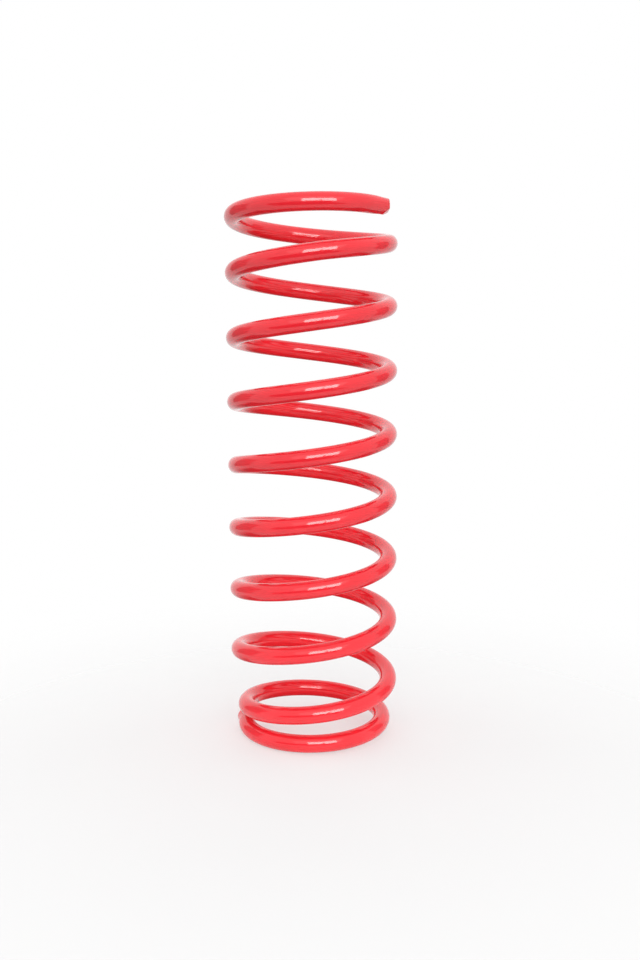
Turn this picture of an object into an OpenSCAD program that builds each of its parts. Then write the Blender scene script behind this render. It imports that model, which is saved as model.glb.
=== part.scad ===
// Suspension coil spring: one length of round steel wire, wound right-handed about +Z.
// It stands on Z = 0 with the coil axis on the origin, and its front faces -Y.
// The lower end is a narrower seat turn that closes against the turn above it.
// The upper end keeps the body diameter, levels off and falls a little towards its cut face.
// The lower cut face is square to the wire. The upper one is upright and slanted.

/* [Wire] */
// Diameter of the round wire
wire_d = 11; // [9:0.5:13]

/* [Coil] */
// Outside diameter of the body turns
coil_od = 107.5; // [95:0.5:130]
// Free length, from the lowest to the highest point of the wire
free_length = 339.4; // [290:0.2:400]
// Turns of wire from cut end to cut end
total_turns = 9.465; // [8.5:0.005:10.5]
// Direction of the lower cut end, in degrees from +X towards +Y
lower_end_angle = 169; // [120:1:240]

/* [Lower end] */
// Distance that the seat turn stands inside the body turns
seat_inset = 4.2; // [0:0.1:8]
// Turns wound at the seat diameter
seat_turns = 1; // [0.8:0.05:1.5]
// Turns over which the coil widens from the seat to the body
flare_turns = 0.5; // [0.3:0.05:1.5]
// Turns wound level before the pitch builds up
level_turns = 0.09; // [0:0.01:0.3]
// Clear gap between the lower cut end and the turn above it
closing_gap = 0.8; // [0.5:0.1:4]

/* [Upper end] */
// Turns wound at a smaller pitch than the body, up to the crest of the wire
top_turns = 1.03; // [0.8:0.01:2]
// Pitch that those turns give up against the body
top_pitch_drop = 8.1; // [0:0.1:12]
// Last part of those turns, over which the pitch eases off to level
ease_turns = 0.31; // [0.2:0.01:0.8]
// Turns from the crest to the upper cut end, over which the pitch eases on and the wire falls
fall_turns = 0.13; // [0:0.01:0.25]

/* [Lower cut end] */
// Length of the tail of wire that is left straight
lower_tail_length = 11; // [4:1:20]
// Outward bend of that tail
lower_tail_bend = 1.2; // [0:0.1:3]

/* [Upper cut end] */
// Length of the tail of wire that is left straight
upper_tail_length = 19; // [10:1:25]
// Downward bend of that tail
upper_tail_bend = 0.4; // [0:0.1:2]
// Height that the wire loses along that tail, flattened by the shear
end_flattening = 1.1; // [0:0.1:2]
// Angle of the cut face from square, with the outer side of the wire shorter
cut_slant = 43; // [0:1:50]
// Angle of the bevel at the face's lower corner, from the face
corner_angle = 58; // [0:1:60]

/* [Both cut ends] */
// Bevel round the edge of each cut face
end_bevel = 0.8; // [0.2:0.1:2]

/* [Hidden] */

spring_red = [0.86, 0.10, 0.12];

// Sides of the wire's section, and sections in each turn
section_sides = 16;
turn_steps = 36;

// Radii of the wire and of its centre line in the body and in the seat turn
wire_r = wire_d / 2;
body_r = coil_od / 2 - wire_r;
seat_r = body_r - seat_inset;

// Share of a turn taken up by a length of wire at a radius
function turns_of(length, radius) = length / (2 * PI * radius);

// Turns in each straight tail, and turns from the lower cut end to the start of the upper tail
// and to the crest of the wire
lower_tail = turns_of(lower_tail_length, seat_r);
upper_tail = turns_of(upper_tail_length, body_r);
wound_turns = total_turns - upper_tail;
crest_turns = total_turns - fall_turns;

// Climb of the centre line up to its crest, and over the first turn alone
total_climb = free_length - wire_d;
first_climb = wire_d + closing_gap;

// The wire starts level. Its pitch then builds up in a straight line to the even pitch of the body,
// stays there, drops for the top turns and eases off in a straight line, through level at the crest.
// The build-up is as long as it takes for the first turn to climb first_climb, which makes the climb
// to the crest a quadratic in the even pitch.
closing_share = pow(1 - level_turns, 2) / first_climb;
even_turns = crest_turns - level_turns - ease_turns / 2;
even_climb = total_climb + top_pitch_drop * (top_turns - ease_turns / 2);
pitch = 2 / closing_share * (even_turns - sqrt(pow(even_turns, 2) - closing_share * even_climb));
build_turns = pitch * closing_share / 2;
top_pitch = pitch - top_pitch_drop;

// Smooth step from 0 to 1 as x goes from 0 to 1
function smooth_step(x) = let (c = min(max(x, 0), 1)) c * c * (3 - 2 * c);

// Height that the wire has climbed, u turns from the lower cut end
function climb(u) =
    let (
        built = max(u - level_turns, 0),
        topped = max(u - crest_turns + top_turns, 0),
        eased = max(u - crest_turns + ease_turns, 0),
        gained = built < build_turns ? built * built / (2 * build_turns) : built - build_turns / 2
    )
    pitch * gained - top_pitch_drop * topped - top_pitch * eased * eased / (2 * ease_turns);

// Radius of the centre line
function coil_radius(u) = seat_r + seat_inset * smooth_step((u - seat_turns) / flare_turns);

// Share of the upper tail that lies behind, from 0 where it leaves the coil to 1 at its cut face
function tail_share(u) = max(u - wound_turns, 0) / upper_tail;

// Centre line of the wire. Each tail leaves the round coil along its tangent and then bends a little
// more towards its cut face: the lower tail outwards, the upper one down.
function centre(u) =
    let (
        round_u = min(max(u, lower_tail), wound_turns),
        angle = lower_end_angle + 360 * round_u,
        outward = [cos(angle), sin(angle), 0],
        onward = [-sin(angle), cos(angle), 0],
        radius = coil_radius(round_u),
        lower_bend = lower_tail_bend * pow(max(lower_tail - u, 0) / lower_tail, 2),
        upper_bend = upper_tail_bend * pow(tail_share(u), 2)
    )
    (radius + lower_bend) * outward
        + 2 * PI * radius * (u - round_u) * onward
        + [0, 0, wire_r + climb(u) - upper_bend];

// Direction of the centre line, from a short chord
chord_turns = 0.001;
function direction(u) =
    let (chord = centre(u + chord_turns) - centre(u - chord_turns))
    chord / norm(chord);

// One round section of the wire, flattened towards the upper cut end. It is square to the wire where
// lean is 0 and lies in the upper cut where lean is 1, and back sets it back along the wire. The cut
// is upright, and below a crease it slopes away as the bevel of the lower corner.
function section(u, radius, lean, back) =
    let (
        along = direction(u),
        outward = [along[1], -along[0], 0] / norm([along[0], along[1]]),
        upward = cross(outward, along),
        middle = centre(u) - back * along,
        half_height = radius * (1 - end_flattening / wire_d * smooth_step(tail_share(u))),
        crease = half_height * sin(360 / section_sides)
    )
    [
        for (side = [0 : section_sides - 1])
            let (
                out = radius * cos(360 * side / section_sides),
                up = half_height * sin(360 * side / section_sides),
                upright = up * along[2] / upward[2],
                bevelled = tan(corner_angle) * max(-up - crease, 0),
                shift = lean * (upright - tan(cut_slant) * out - bevelled)
            )
            middle + out * outward + up * upward + shift * along
    ];

// Sections stand at even azimuths, so that the coil is as wide in X as in Y. The lower cut end adds
// its face and the ring where its bevel starts. The upper one adds rings that lean more and more,
// the last of them where its bevel starts, and then its face.
lower_azimuth = lower_end_angle / 360;
upper_azimuth = lower_azimuth + total_turns;
end_clearance = 0.5;
slant_turns = turns_of(wire_r * tan(cut_slant) + end_bevel, body_r);
first_step = ceil(lower_azimuth * turn_steps + end_clearance);
last_step = floor((upper_azimuth - slant_turns) * turn_steps - end_clearance);
last_even = last_step / turn_steps - lower_azimuth;
face_r = wire_r - end_bevel;
lean_rings = 4;
stations = concat(
    [[0, face_r, 0, 0], [turns_of(end_bevel, seat_r), wire_r, 0, 0]],
    [for (step = [first_step : last_step]) [step / turn_steps - lower_azimuth, wire_r, 0, 0]],
    [
        for (ring = [1 : lean_rings])
            let (lean = ring / lean_rings)
            [last_even + lean * (total_turns - last_even), wire_r, lean, lean * end_bevel]
    ],
    [[total_turns, face_r, 1, 0]]
);

// Skin between neighbouring sections, as two triangles for each side
function corner(station, side) = station * section_sides + side % section_sides;
function skin(count) = [
    for (s = [0 : count - 2], side = [0 : section_sides - 1])
        let (
            a = corner(s, side),
            b = corner(s, side + 1),
            c = corner(s + 1, side + 1),
            d = corner(s + 1, side)
        )
        each [[a, b, c], [a, c, d]]
];

// The whole spring, swept as one solid. The crease parts the upper cut face from its corner bevel,
// one side of the section below the middle.
module coil_spring() {
    count = len(stations);
    points = [for (s = stations) each section(s[0], s[1], s[2], s[3])];
    inner_crease = section_sides / 2 + 1;
    outer_crease = section_sides - 1;
    lower_face = [for (side = [section_sides - 1 : -1 : 0]) corner(0, side)];
    upper_face = [for (side = [-1 : inner_crease]) corner(count - 1, section_sides + side)];
    upper_corner = [for (side = [inner_crease : outer_crease]) corner(count - 1, side)];
    color(spring_red)
        polyhedron(points, concat([lower_face], skin(count), [upper_face, upper_corner]));
}

coil_spring();
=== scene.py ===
# Looks of a red powder-coated suspension coil spring, in metres, in the frame of its solids
import math
import bpy
import numpy as np
from mathutils import Matrix, Vector, noise


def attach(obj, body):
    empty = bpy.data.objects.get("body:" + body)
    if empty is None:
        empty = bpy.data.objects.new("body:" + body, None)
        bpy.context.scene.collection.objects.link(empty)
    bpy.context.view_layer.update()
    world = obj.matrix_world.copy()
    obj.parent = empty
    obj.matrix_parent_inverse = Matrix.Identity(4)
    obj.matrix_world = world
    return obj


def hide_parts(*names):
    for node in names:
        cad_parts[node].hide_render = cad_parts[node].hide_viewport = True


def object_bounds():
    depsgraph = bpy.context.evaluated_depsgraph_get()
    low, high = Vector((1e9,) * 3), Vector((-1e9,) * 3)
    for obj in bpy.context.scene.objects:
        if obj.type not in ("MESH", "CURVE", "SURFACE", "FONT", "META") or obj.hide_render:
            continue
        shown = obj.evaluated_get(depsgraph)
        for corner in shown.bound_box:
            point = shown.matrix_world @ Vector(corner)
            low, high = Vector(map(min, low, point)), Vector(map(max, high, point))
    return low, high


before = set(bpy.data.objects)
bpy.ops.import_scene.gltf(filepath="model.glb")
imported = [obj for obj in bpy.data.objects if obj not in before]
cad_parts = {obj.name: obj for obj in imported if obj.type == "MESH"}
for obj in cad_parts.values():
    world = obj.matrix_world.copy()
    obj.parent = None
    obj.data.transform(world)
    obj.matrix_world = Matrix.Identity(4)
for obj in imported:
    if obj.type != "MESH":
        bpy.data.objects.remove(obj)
cad_low, cad_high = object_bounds()

# Sizes of the wire and the coil, as in the part's source
WIRE_D = 0.011
COIL_OD = cad_high.x - cad_low.x
FREE_LENGTH = cad_high.z - cad_low.z
TOTAL_TURNS = 9.465
LOWER_END_ANGLE = math.radians(169)

# Lower end: a narrower turn that closes against the turn above it
SEAT_INSET = 0.0042
SEAT_TURNS = 1.0
FLARE_TURNS = 0.5
LEVEL_TURNS = 0.09
CLOSING_GAP = 0.0008

# Upper end: a smaller pitch that eases off through level, so that the wire falls towards its end
TOP_TURNS = 1.03
TOP_PITCH_DROP = 0.0081
EASE_TURNS = 0.31
FALL_TURNS = 0.13

# Cut ends: straight tails with a small bend, and faces with a rounded edge. The upper tail is
# flattened, and its face is upright and slanted, with a bevel at its lower corner.
LOWER_TAIL_LENGTH = 0.011
LOWER_TAIL_BEND = 0.0012
UPPER_TAIL_LENGTH = 0.019
UPPER_TAIL_BEND = 0.0004
END_FLATTENING = 0.0011
CUT_SLANT = math.radians(43)
CORNER_ANGLE = math.radians(58)
CREASE_ANGLE = math.radians(22.5)
EDGE_ROUND = 0.0008

# Relief of the cut faces: streaks left by the shear, so many a metre across the face and up it
SHEAR_DEPTH = 0.00016
SHEAR_STREAKS = (260.0, 1500.0)

# Fineness of the swept wire
SECTION_SIDES = 48
TURN_RINGS = 156
EDGE_RINGS = 6
FACE_RINGS = 10
LEAN_RINGS = 24
LEAN_LENGTH = 0.013


def turns_of(length, radius):
    """Share of a turn taken up by a length of wire at a radius."""
    return length / (2 * math.pi * radius)


# Radii of the wire and of its centre line, and the turns that each tail takes up
WIRE_R = WIRE_D / 2
FACE_R = WIRE_R - EDGE_ROUND
BODY_R = COIL_OD / 2 - WIRE_R
SEAT_R = BODY_R - SEAT_INSET
LOWER_TAIL = turns_of(LOWER_TAIL_LENGTH, SEAT_R)
UPPER_TAIL = turns_of(UPPER_TAIL_LENGTH, BODY_R)
WOUND_TURNS = TOTAL_TURNS - UPPER_TAIL
CREST_TURNS = TOTAL_TURNS - FALL_TURNS

# The pitch builds up in a straight line, stays even, drops for the top turns and eases off
TOTAL_CLIMB = FREE_LENGTH - WIRE_D
CLOSING_SHARE = (1 - LEVEL_TURNS) ** 2 / (WIRE_D + CLOSING_GAP)
EVEN_TURNS = CREST_TURNS - LEVEL_TURNS - EASE_TURNS / 2
EVEN_CLIMB = TOTAL_CLIMB + TOP_PITCH_DROP * (TOP_TURNS - EASE_TURNS / 2)
PITCH = 2 / CLOSING_SHARE * (EVEN_TURNS - math.sqrt(EVEN_TURNS**2 - CLOSING_SHARE * EVEN_CLIMB))
BUILD_TURNS = PITCH * CLOSING_SHARE / 2
TOP_PITCH = PITCH - TOP_PITCH_DROP


def climb(u):
    """Height that the wire has climbed, u turns from the lower cut end."""
    built = np.maximum(u - LEVEL_TURNS, 0)
    topped = np.maximum(u - CREST_TURNS + TOP_TURNS, 0)
    eased = np.maximum(u - CREST_TURNS + EASE_TURNS, 0)
    gained = np.where(built < BUILD_TURNS, built**2 / (2 * BUILD_TURNS), built - BUILD_TURNS / 2)
    return PITCH * gained - TOP_PITCH_DROP * topped - TOP_PITCH * eased**2 / (2 * EASE_TURNS)


def smooth_step(x):
    """Smooth step from 0 to 1 as x goes from 0 to 1."""
    share = np.clip(x, 0, 1)
    return share**2 * (3 - 2 * share)


def coil_radius(u):
    """Radius of the centre line, which widens from the seat turn to the body."""
    return SEAT_R + SEAT_INSET * smooth_step((u - SEAT_TURNS) / FLARE_TURNS)


def tail_share(u):
    """Share of the upper tail that lies behind, from 0 at the coil to 1 at the cut face."""
    return np.maximum(u - WOUND_TURNS, 0) / UPPER_TAIL


def centre(u):
    """Centre line of the wire, with its straight tails."""
    round_u = np.clip(u, LOWER_TAIL, WOUND_TURNS)
    angle = LOWER_END_ANGLE + 2 * math.pi * round_u
    radius = coil_radius(round_u)
    lower_bend = LOWER_TAIL_BEND * (np.maximum(LOWER_TAIL - u, 0) / LOWER_TAIL) ** 2
    upper_bend = UPPER_TAIL_BEND * tail_share(u) ** 2
    outward = radius + lower_bend
    onward = 2 * math.pi * radius * (u - round_u)
    x = outward * np.cos(angle) - onward * np.sin(angle)
    y = outward * np.sin(angle) + onward * np.cos(angle)
    return np.stack([x, y, WIRE_R + climb(u) - upper_bend], axis=-1)


def directions(u):
    """Unit vectors along the wire, away from the coil's axis and square to both."""
    half_chord = 0.001
    along = centre(u + half_chord) - centre(u - half_chord)
    along /= np.linalg.norm(along, axis=-1, keepdims=True)
    outward = np.stack([along[:, 1], -along[:, 0], np.zeros(len(u))], axis=-1)
    outward /= np.linalg.norm(outward, axis=-1, keepdims=True)
    return along, outward, np.cross(outward, along)


def end_rings():
    """Distance back from a cut face and radius of each ring, from the middle of the face outwards."""
    face = [(0.0, FACE_R * ring / FACE_RINGS) for ring in range(1, FACE_RINGS)]
    turns = [math.pi / 2 * ring / EDGE_RINGS for ring in range(EDGE_RINGS + 1)]
    edge = [(EDGE_ROUND * (1 - math.cos(t)), FACE_R + EDGE_ROUND * math.sin(t)) for t in turns]
    return face + edge


def wire_stations():
    """Place along the wire in turns, radius, lean and set-back of every ring."""
    lower = [(turns_of(back, SEAT_R), size, 0.0, 0.0) for back, size in end_rings()]
    upper = [(TOTAL_TURNS, size, 1.0, back) for back, size in reversed(end_rings())]
    first = lower[-1][0]
    last = TOTAL_TURNS - turns_of(LEAN_LENGTH, BODY_R)
    count = round((last - first) * TURN_RINGS)
    even = [(first + (last - first) * ring / count, WIRE_R, 0.0, 0.0) for ring in range(1, count + 1)]
    leans = [ring / LEAN_RINGS for ring in range(1, LEAN_RINGS)]
    leaning = [(last + (TOTAL_TURNS - last) * lean, WIRE_R, lean, lean * EDGE_ROUND) for lean in leans]
    return np.array(lower + even + leaning + upper)


def shear_relief(across, up):
    """Depth of the streaks at a place on a cut face, from 0 to SHEAR_DEPTH."""
    at = Vector((across * SHEAR_STREAKS[0], up * SHEAR_STREAKS[1], 0.0))
    return SHEAR_DEPTH * (0.5 + 0.5 * noise.noise(at))


def wire_points(stations):
    """Points of every ring, and the middle point of each cut face."""
    u, size, lean, back = (column[:, None] for column in stations.T)
    middle = centre(stations[:, 0])
    along, outward, upward = directions(stations[:, 0])
    angle = 2 * math.pi * np.arange(SECTION_SIDES) / SECTION_SIDES
    height = 1 - END_FLATTENING / WIRE_D * smooth_step(tail_share(u))
    out = size * np.cos(angle)
    up = size * height * np.sin(angle)
    upright = up * (along[:, 2] / upward[:, 2])[:, None]
    crease = np.maximum(size, FACE_R) * height * math.sin(CREASE_ANGLE)
    bevelled = math.tan(CORNER_ANGLE) * np.maximum(-up - crease, 0)
    shift = lean * (upright - math.tan(CUT_SLANT) * out - bevelled) - back
    count = len(stations)
    for ring in range(FACE_RINGS - 1):
        for place, inward in ((ring, 1), (count - 1 - ring, -1)):
            for side in range(SECTION_SIDES):
                shift[place, side] += inward * shear_relief(out[place, side], up[place, side])
    points = middle[:, None]
    for amount, way in ((out, outward), (up, upward), (shift, along)):
        points = points + amount[..., None] * way[:, None]
    tips = [middle[0] + shear_relief(0, 0) * along[0], middle[-1] - shear_relief(0, 0) * along[-1]]
    return np.concatenate([points.reshape(-1, 3), tips])


def wire_faces(count):
    """Quads between neighbouring rings, and a fan of triangles at the middle of each cut face."""
    sides = range(SECTION_SIDES)
    quads = []
    for ring in range(count - 1):
        here, there = ring * SECTION_SIDES, (ring + 1) * SECTION_SIDES
        for side in sides:
            after = (side + 1) % SECTION_SIDES
            quads.append((here + side, there + side, there + after, here + after))
    lower_tip = count * SECTION_SIDES
    upper_tip = lower_tip + 1
    last = (count - 1) * SECTION_SIDES
    lower_fan = [(lower_tip, side, (side + 1) % SECTION_SIDES) for side in sides]
    upper_fan = [(upper_tip, last + (side + 1) % SECTION_SIDES, last + side) for side in sides]
    return quads, lower_fan + upper_fan


def add_node(tree, kind, settings=None, **inputs):
    """A shader node with its settings and its unlinked inputs."""
    made = tree.nodes.new(kind)
    for name, value in (settings or {}).items():
        setattr(made, name, value)
    for name, value in inputs.items():
        made.inputs[name].default_value = value
    return made


def add_noise(tree, place, inputs):
    """Noise at a place on the object, with its scale, detail and roughness."""
    made = add_node(tree, "ShaderNodeTexNoise", **inputs)
    tree.links.new(place, made.inputs["Vector"])
    return made.outputs["Fac"]


def add_range(tree, value, source, target=(0.0, 1.0), course="LINEAR"):
    """A value that goes from end to end of target while the given one goes through source."""
    made = add_node(tree, "ShaderNodeMapRange", {"interpolation_type": course})
    for name, end in zip(("From Min", "From Max", "To Min", "To Max"), source + target):
        made.inputs[name].default_value = end
    tree.links.new(value, made.inputs["Value"])
    return made.outputs["Result"]


def add_bump(tree, relief, height):
    """A bump that raises a relief from 0 to 1 to a height."""
    made = add_node(tree, "ShaderNodeBump", Strength=1.0, Distance=height)
    tree.links.new(relief, made.inputs["Height"])
    return made


def add_mix(tree, share, first, second):
    """The first shader where share is 0, and the second where it is 1."""
    made = add_node(tree, "ShaderNodeMixShader")
    for source, socket in zip((share, first, second), made.inputs):
        tree.links.new(source, socket)
    return made.outputs["Shader"]


def seen_rays(tree):
    """1 for the rays of the camera, of gloss and of glass, and 0 for the rays that light."""
    rays = add_node(tree, "ShaderNodeLightPath").outputs
    seen = rays["Is Camera Ray"]
    for ray in ("Is Glossy Ray", "Is Transmission Ray"):
        either = add_node(tree, "ShaderNodeMath", {"operation": "MAXIMUM"})
        tree.links.new(seen, either.inputs[0])
        tree.links.new(rays[ray], either.inputs[1])
        seen = either.outputs["Value"]
    return seen


# Powder coat: a deep red with a glossy skin. Each noise has its scale in features a metre.
COAT_RED = (0.93, 0.024, 0.038, 1.0)
COAT_RED_DEEP = (0.87, 0.019, 0.031, 1.0)
COAT_IOR = 1.6
MOTTLE_NOISE = {"Scale": 38.0, "Detail": 4.0, "Roughness": 0.6}
MOTTLE_EDGES = (0.35, 0.65)
GLOSS_NOISE = {"Scale": 140.0, "Detail": 3.0, "Roughness": 0.5}
GLOSS_EDGES = (0.3, 0.7)
COAT_ROUGHNESS = (0.05, 0.08)
CUT_ROUGHNESS = (0.2, 0.34)
WAVE_NOISE = {"Scale": 55.0, "Detail": 1.0, "Roughness": 0.5}
WAVE_HEIGHT = 0.000004
PEEL_NOISE = {"Scale": 620.0, "Detail": 1.5, "Roughness": 0.4}
PEEL_HEIGHT = 0.0000007
CUT_PEEL_HEIGHT = 3 * PEEL_HEIGHT


def coat_material(name, roughness, peel_height):
    """Glossy red coat with faint mottling, uneven gloss, shallow waves and a fine orange peel."""
    material = bpy.data.materials.new(name)
    material.use_nodes = True
    tree = material.node_tree
    link = tree.links.new
    shader = tree.nodes["Principled BSDF"]
    shader.inputs["IOR"].default_value = COAT_IOR
    place = add_node(tree, "ShaderNodeTexCoord").outputs["Object"]

    reds = add_node(tree, "ShaderNodeValToRGB")
    for stop, edge, red in zip(reds.color_ramp.elements, MOTTLE_EDGES, (COAT_RED_DEEP, COAT_RED)):
        stop.position = edge
        stop.color = red
    link(add_noise(tree, place, MOTTLE_NOISE), reds.inputs["Fac"])
    link(reds.outputs["Color"], shader.inputs["Base Color"])

    gloss = add_noise(tree, place, GLOSS_NOISE)
    link(add_range(tree, gloss, GLOSS_EDGES, roughness), shader.inputs["Roughness"])

    waves = add_bump(tree, add_noise(tree, place, WAVE_NOISE), WAVE_HEIGHT)
    peel = add_bump(tree, add_noise(tree, place, PEEL_NOISE), peel_height)
    link(waves.outputs["Normal"], peel.inputs["Normal"])
    link(peel.outputs["Normal"], shader.inputs["Normal"])
    return material


def build_spring():
    """The coil as one fine mesh, which stands for its solid."""
    name = "coil_spring_coated"
    stations = wire_stations()
    quads, fans = wire_faces(len(stations))
    mesh = bpy.data.meshes.new(name)
    mesh.from_pydata(wire_points(stations).tolist(), [], quads + fans)
    mesh.materials.append(coat_material("red_coating", COAT_ROUGHNESS, PEEL_HEIGHT))
    mesh.materials.append(coat_material("red_coating_on_cut", CUT_ROUGHNESS, CUT_PEEL_HEIGHT))
    cut_slot = len(mesh.materials) - 1
    face_quads = (FACE_RINGS - 1) * SECTION_SIDES
    slots = np.zeros(len(mesh.polygons), dtype=np.int32)
    slots[:face_quads] = cut_slot
    slots[len(quads) - face_quads :] = cut_slot
    mesh.polygons.foreach_set("material_index", slots)
    mesh.polygons.foreach_set("use_smooth", np.ones(len(mesh.polygons), dtype=bool))
    mesh.update()
    spring = bpy.data.objects.new(name, mesh)
    bpy.context.scene.collection.objects.link(spring)
    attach(spring, "root")
    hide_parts("coil_spring")


def stage_material(name):
    """A material without a shader, its node tree and the input of its surface."""
    material = bpy.data.materials.new(name)
    material.use_nodes = True
    tree = material.node_tree
    tree.nodes.remove(tree.nodes["Principled BSDF"])
    return material, tree, tree.nodes["Material Output"].inputs["Surface"]


# Floor: a pale disc that fades out into the white surroundings, sooner behind the spring
FLOOR_R = 0.5
FLOOR_SIDES = 96
FLOOR_CENTRE = (0.0, -0.06, 0.0)
FLOOR_SOLID_R = 0.07
FLOOR_CLEAR_R = 0.42
FLOOR_COLOUR = (0.82, 0.82, 0.82, 1.0)
FLOOR_LIFT = 0.54


def floor_material():
    """Pale paper that looks whiter than it is lit, keeps a soft shadow and fades out."""
    material, tree, surface = stage_material("floor_paper")
    paper = add_node(tree, "ShaderNodeBsdfDiffuse", Color=FLOOR_COLOUR).outputs["BSDF"]
    white = add_node(tree, "ShaderNodeEmission", Strength=1.0).outputs["Emission"]
    clear = add_node(tree, "ShaderNodeBsdfTransparent").outputs["BSDF"]
    lift = add_range(tree, seen_rays(tree), (0.0, 1.0), (0.0, FLOOR_LIFT))
    away = add_node(tree, "ShaderNodeVectorMath", {"operation": "LENGTH"})
    tree.links.new(add_node(tree, "ShaderNodeTexCoord").outputs["Object"], away.inputs[0])
    fade = add_range(tree, away.outputs["Value"], (FLOOR_SOLID_R, FLOOR_CLEAR_R), course="SMOOTHSTEP")
    lifted = add_mix(tree, lift, paper, white)
    tree.links.new(add_mix(tree, fade, lifted, clear), surface)
    return material


def build_floor():
    """A round pale floor under the spring."""
    bpy.ops.mesh.primitive_circle_add(
        vertices=FLOOR_SIDES, radius=FLOOR_R, fill_type="NGON", location=FLOOR_CENTRE
    )
    floor = bpy.context.object
    floor.name = "floor"
    floor.data.materials.append(floor_material())


# Surroundings: white in front of the camera and pale grey behind it, with less light than they show
SKY_LIGHT = 0.30
GROUND_LIGHT = 0.04
HORIZON = (-0.3, 0.3)
ROOM_GREY = 0.85


def build_world():
    """Pale surroundings that the camera and the gloss see, and that light the spring from above."""
    world = bpy.data.worlds.new("studio")
    world.use_nodes = True
    bpy.context.scene.world = world
    tree = world.node_tree
    link = tree.links.new
    way = add_node(tree, "ShaderNodeSeparateXYZ")
    link(add_node(tree, "ShaderNodeTexCoord").outputs["Generated"], way.inputs["Vector"])
    strength = add_node(tree, "ShaderNodeMapRange")
    light = add_range(tree, way.outputs["Z"], HORIZON, (GROUND_LIGHT, SKY_LIGHT), "SMOOTHSTEP")
    shown = add_range(tree, way.outputs["Y"], (-1.0, 1.0), (ROOM_GREY, 1.0), "SMOOTHSTEP")
    link(seen_rays(tree), strength.inputs["Value"])
    link(light, strength.inputs["To Min"])
    link(shown, strength.inputs["To Max"])
    white = tree.nodes["Background"]
    white.inputs["Color"].default_value = (1.0, 1.0, 1.0, 1.0)
    link(strength.outputs["Result"], white.inputs["Strength"])


# Flags and lamps stand round the middle of the spring. Azimuth 0 is the camera's side and 90 the right.
AIM = Vector((0.0, 0.0, FREE_LENGTH / 2))


def place_round(thing, azimuth, elevation, distance):
    """Puts a flag or a lamp round the spring, facing it, at two angles in degrees and a distance."""
    a, e = math.radians(azimuth), math.radians(elevation)
    back = Vector((math.sin(a) * math.cos(e), -math.cos(a) * math.cos(e), math.sin(e)))
    thing.location = AIM + distance * back
    thing.rotation_euler = (-back).to_track_quat("-Z", "Y").to_euler()


# Flags: dark cards that show only in the gloss of the coating, as painted dark reflections which deepen
# the red between the reflections. Each card clears between two glances, where 0 is seen square and 1
# edge on.
# Greys of the painted dark reflections
FLAG_GREY = 0.08
SIDE_FLAG_GREY = 0.34
STANDING_GLANCES = (0.9, 1.0)
LYING_Z = 0.002
# Name, azimuth, elevation, distance, width, height and grey
STANDING_FLAGS = (
    ("flag_left", -109, 8, 1.0, 0.73, 0.8, SIDE_FLAG_GREY),
    ("flag_right", 108, 8, 1.0, 0.48, 0.8, SIDE_FLAG_GREY),
    ("flag_camera", -14, -5.5, 0.9, 1.6, 0.32, FLAG_GREY),
)
# Name, place along Y, width, depth and glances
LYING_FLAGS = (
    ("flag_front", -0.68, 1.0, 0.64, (0.68, 0.8)),
    ("flag_behind", 0.2, 0.6, 0.4, (0.3, 0.6)),
)


def dark_reflection_material(name, grey, glances):
    """Painted dark reflection: a dark card that clears as it is seen more edge on."""
    material, tree, surface = stage_material(name)
    # Grey glow of the card, a painted dark reflection in the coat's gloss
    dark_gloss = add_node(tree, "ShaderNodeEmission", Strength=grey).outputs["Emission"]
    clear = add_node(tree, "ShaderNodeBsdfTransparent").outputs["BSDF"]
    facing = add_node(tree, "ShaderNodeLayerWeight", Blend=0.5).outputs["Facing"]
    tree.links.new(add_mix(tree, add_range(tree, facing, glances), dark_gloss, clear), surface)
    return material


def add_flag(name, width, height, grey, glances):
    """A level card that shows in the gloss of the coating alone, as a painted dark reflection."""
    bpy.ops.mesh.primitive_plane_add(size=1.0)
    card = bpy.context.object
    card.name = name
    card.scale = (width, height, 1.0)
    card.data.materials.append(dark_reflection_material(name, grey, glances))
    for ray in ("camera", "diffuse", "transmission", "shadow"):
        setattr(card, "visible_" + ray, False)
    return card


def build_flags():
    """Painted dark reflections: two flags at the sides, one under the camera and two that lie on the
    floor.
    """
    for name, azimuth, elevation, distance, width, height, grey in STANDING_FLAGS:
        card = add_flag(name, width, height, grey, STANDING_GLANCES)
        place_round(card, azimuth, elevation, distance)
    for name, y, width, depth, glances in LYING_FLAGS:
        card = add_flag(name, width, depth, FLAG_GREY, glances)
        card.location = (0.0, y, LYING_Z)


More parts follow.
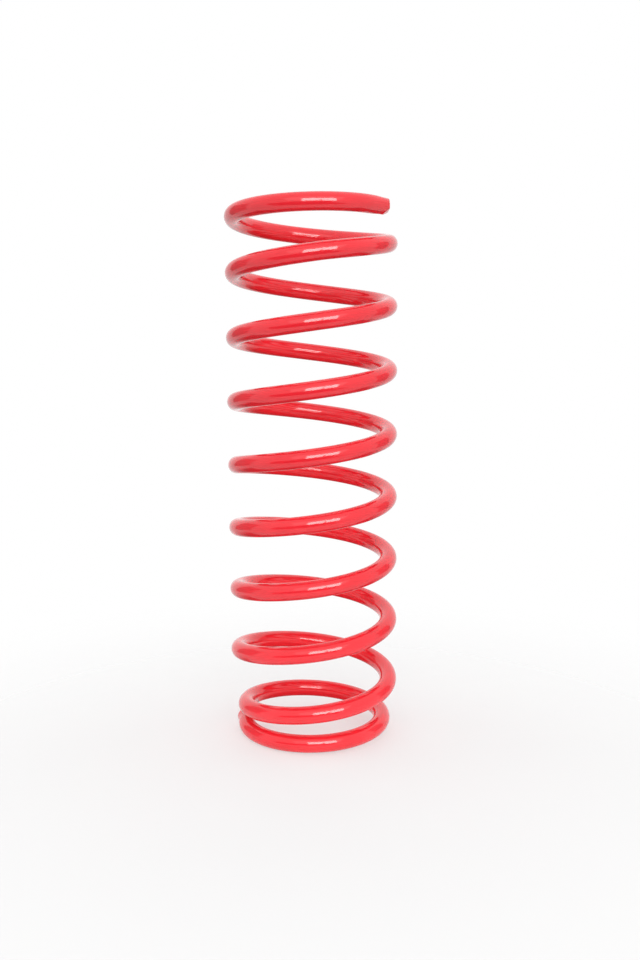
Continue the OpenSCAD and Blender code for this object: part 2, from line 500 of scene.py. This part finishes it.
# Lamps: soft ones all round, most of which don't show in the gloss, and two bright panels beside the
# camera that only show there, as the double streak on each strand.
# Name, azimuth, elevation, distance, width, height, radiance, if it lights and if it shows in the gloss
LAMPS = (
    ("key_soft", 8, 9, 1.2, 0.9, 1.0, 3.55, True, False),
    ("fill_left", -102, 20, 1.3, 1.0, 0.8, 2.1, True, False),
    ("fill_right", 102, 20, 1.3, 1.0, 0.8, 1.7, True, False),
    ("fill_back", 180, 25, 1.3, 1.2, 0.9, 1.9, True, False),
    ("front_soft", 5, 34, 1.3, 1.7, 0.9, 0.6, True, True),
    ("top_soft", 0, 84, 1.2, 1.2, 1.2, 1.0, True, False),
    ("panel_left", 0.9, 20, 1.2, 0.475, 0.62, 7.0, False, True),
    ("panel_right", 23.8, 20, 1.2, 0.385, 0.62, 7.0, False, True),
)


def build_lamps():
    """Flat lamps of even radiance, unseen by the camera."""
    for name, azimuth, elevation, distance, width, height, radiance, lights, shows in LAMPS:
        light = bpy.data.lights.new(name, "AREA")
        light.shape = "RECTANGLE"
        light.size, light.size_y = width, height
        light.energy = radiance * math.pi * width * height
        lamp = bpy.data.objects.new(name, light)
        bpy.context.scene.collection.objects.link(lamp)
        lamp.visible_camera = False
        lamp.visible_diffuse = lights
        lamp.visible_glossy = shows
        place_round(lamp, azimuth, elevation, distance)


# Camera: fitted to the strands of the coil
CAMERA_AT = Vector((0.004695, -0.69744, 0.26270))
CAMERA_PITCH = math.radians(7.977)
CAMERA_ROLL = math.radians(-0.350)
CAMERA_LENS = 41.284


def build_camera():
    """The photograph's viewpoint, looking along +Y and a little down."""
    data = bpy.data.cameras.new("camera")
    data.lens = CAMERA_LENS
    camera = bpy.data.objects.new("camera", data)
    bpy.context.scene.collection.objects.link(camera)
    tilt = Matrix.Rotation(math.pi / 2 - CAMERA_PITCH, 4, "X")
    camera.matrix_world = Matrix.Translation(CAMERA_AT) @ tilt @ Matrix.Rotation(CAMERA_ROLL, 4, "Z")
    bpy.context.scene.camera = camera


bpy.context.scene.view_settings.view_transform = "Standard"
build_camera()
build_spring()
build_floor()
build_world()
build_flags()
build_lamps()
